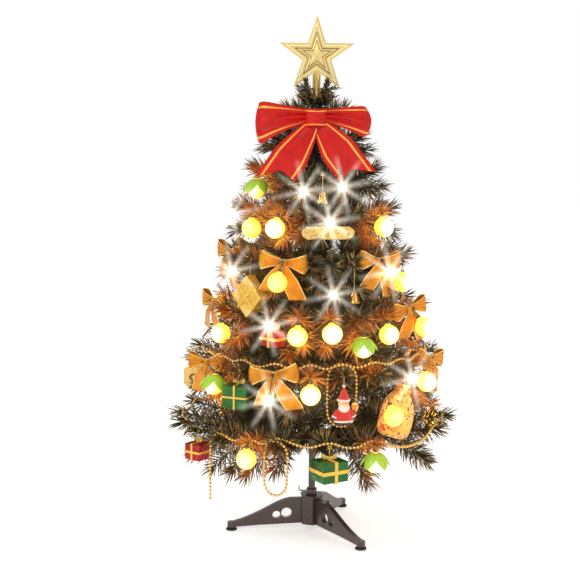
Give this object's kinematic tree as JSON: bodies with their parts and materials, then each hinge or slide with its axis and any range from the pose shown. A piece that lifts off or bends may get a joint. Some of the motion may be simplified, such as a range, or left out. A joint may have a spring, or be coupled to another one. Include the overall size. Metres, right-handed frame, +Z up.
{
  "type": "artificial tabletop tree",
  "caption": "Small decorated artificial tree on a three-legged stand, with a star topper, ribbon bows, small lamps, hanging ornaments and bead chains.",
  "frame": {"origin": "centre of the bounding box's bottom face, on the floor under the trunk", "axes": "+Z up the trunk, the longest extent; -Y is the front, with the red bow; +X is the viewer's right"},
  "size_m": [0.3164, 0.3409, 0.6],
  "materials": {
    "bead_gold": "glossy",
    "bell_gold": "glossy",
    "crimson_foil": "plain",
    "dark_plastic": "glossy",
    "foliage": "plain",
    "globe": "plain",
    "gnome_red": "plain",
    "gnome_tan": "plain",
    "gold_foil": "plain",
    "gold_plastic": "glossy",
    "gold_ribbon": "satin",
    "gold_satin": "satin",
    "green_foil": "plain",
    "lamp_green": "glossy",
    "led": "glossy",
    "lime": "plain",
    "pad": "plain",
    "plaque_gold": "plain",
    "pole_brown": "glossy",
    "red_satin": "satin",
    "sack_cloth": "satin",
    "screw": "plain",
    "star_dark": "glossy",
    "string": "satin",
    "wire": "plain"
  },
  "bodies": {
    "hub": {"stand_hub": "dark_plastic"},
    "leg_left": {"stand_leg_left": "dark_plastic", "foot_pad_left": "pad"},
    "leg_right": {"stand_leg_right": "dark_plastic", "foot_pad_right": "pad"},
    "leg_back": {"stand_leg_back": "dark_plastic", "foot_pad_back": "pad"},
    "clamp_screw_body": {"clamp_screw": "screw"},
    "pole": {"trunk_pole": "pole_brown"},
    "red_gift_body": {"red_gift": "crimson_foil", "red_gift_ribbon": "gold_ribbon"},
    "green_gift_body": {"green_gift": "green_foil", "green_gift_ribbon": "gold_ribbon"},
    "heart_body": {"heart_plaque": "plaque_gold", "heart_string": "string"},
    "star": {"star_border": "gold_plastic", "star_center": "star_dark", "star_tube": "gold_plastic"},
    "tree": {"bead_chain_lower": "bead_gold", "bead_chain_upper": "bead_gold", "bells": "bell_gold", "binding_rings": "wire", "box_ribbons": "gold_ribbon", "branch_wires_1": "wire", "branch_wires_2": "wire", "branch_wires_3": "wire", "branch_wires_4": "wire", "branch_wires_5": "wire", "branch_wires_6": "wire", "branch_wires_7": "wire", "foliage_1": "foliage", "foliage_2": "foliage", "foliage_3": "foliage", "foliage_4": "foliage", "foliage_5": "foliage", "foliage_6": "foliage", "foliage_7": "foliage", "gift_sack": "sack_cloth", "gnome_body": "gnome_red", "gnome_head": "gnome_tan", "gold_bow_knots": "gold_satin", "gold_bow_loops": "gold_satin", "gold_bow_tails": "gold_satin", "gold_box": "gold_foil", "green_cube": "green_foil", "lamp_clips": "lamp_green", "lamp_cups": "lime", "lamp_globes": "globe", "lamp_sockets": "lamp_green", "led_bulbs": "led", "ornament_hangers": "string", "red_bow_knot": "red_satin", "red_bow_loops": "red_satin", "red_bow_tails": "red_satin", "red_bow_tie": "wire", "red_box": "crimson_foil", "sack_tie": "gold_ribbon", "scroll_plaque": "plaque_gold", "trunk_core": "wire", "trunk_garland": "foliage"}
  },
  "joints": [
    {"name": "leg_left_slide", "type": "slide", "parent": "hub", "child": "leg_left", "axis": [0, 0, 1], "range_m": [-0.032, 0]},
    {"name": "leg_right_slide", "type": "slide", "parent": "hub", "child": "leg_right", "axis": [0, 0, 1], "range_m": [-0.032, 0]},
    {"name": "leg_back_slide", "type": "slide", "parent": "hub", "child": "leg_back", "axis": [0, 0, 1], "range_m": [-0.032, 0]},
    {"name": "clamp_screw_turn", "type": "hinge", "parent": "hub", "child": "clamp_screw_body", "pos_m": [-0.01, 0, 0.0452], "axis": [-1, 0, 0], "range_deg": [-720, 0]},
    {"name": "pole_swivel", "type": "hinge", "parent": "hub", "child": "pole", "pos_m": [0, 0, 0.05], "axis": [0, 0, 1], "continuous": true},
    {"name": "tree_lift", "type": "slide", "parent": "pole", "child": "tree", "axis": [0, 0, 1], "range_m": [0, 0.04]},
    {"name": "star_lift", "type": "slide", "parent": "tree", "child": "star", "axis": [0, 0, 1], "range_m": [0, 0.03]},
    {"name": "red_gift_swing", "type": "hinge", "parent": "tree", "child": "red_gift_body", "pos_m": [-0.12771, -0.08614, 0.13843], "axis": [-0.82, -0.5531, 0.1476], "range_deg": [-10, 10]},
    {"name": "green_gift_swing", "type": "hinge", "parent": "tree", "child": "green_gift_body", "pos_m": [0.01878, -0.15292, 0.1383], "axis": [0.1199, -0.9762, 0.1808], "range_deg": [-20, 20]},
    {"name": "heart_swing", "type": "hinge", "parent": "tree", "child": "heart_body", "pos_m": [-0.13813, 0, 0.21176], "axis": [-0.9669, 0, 0.255], "range_deg": [-15, 15]}
  ]
}
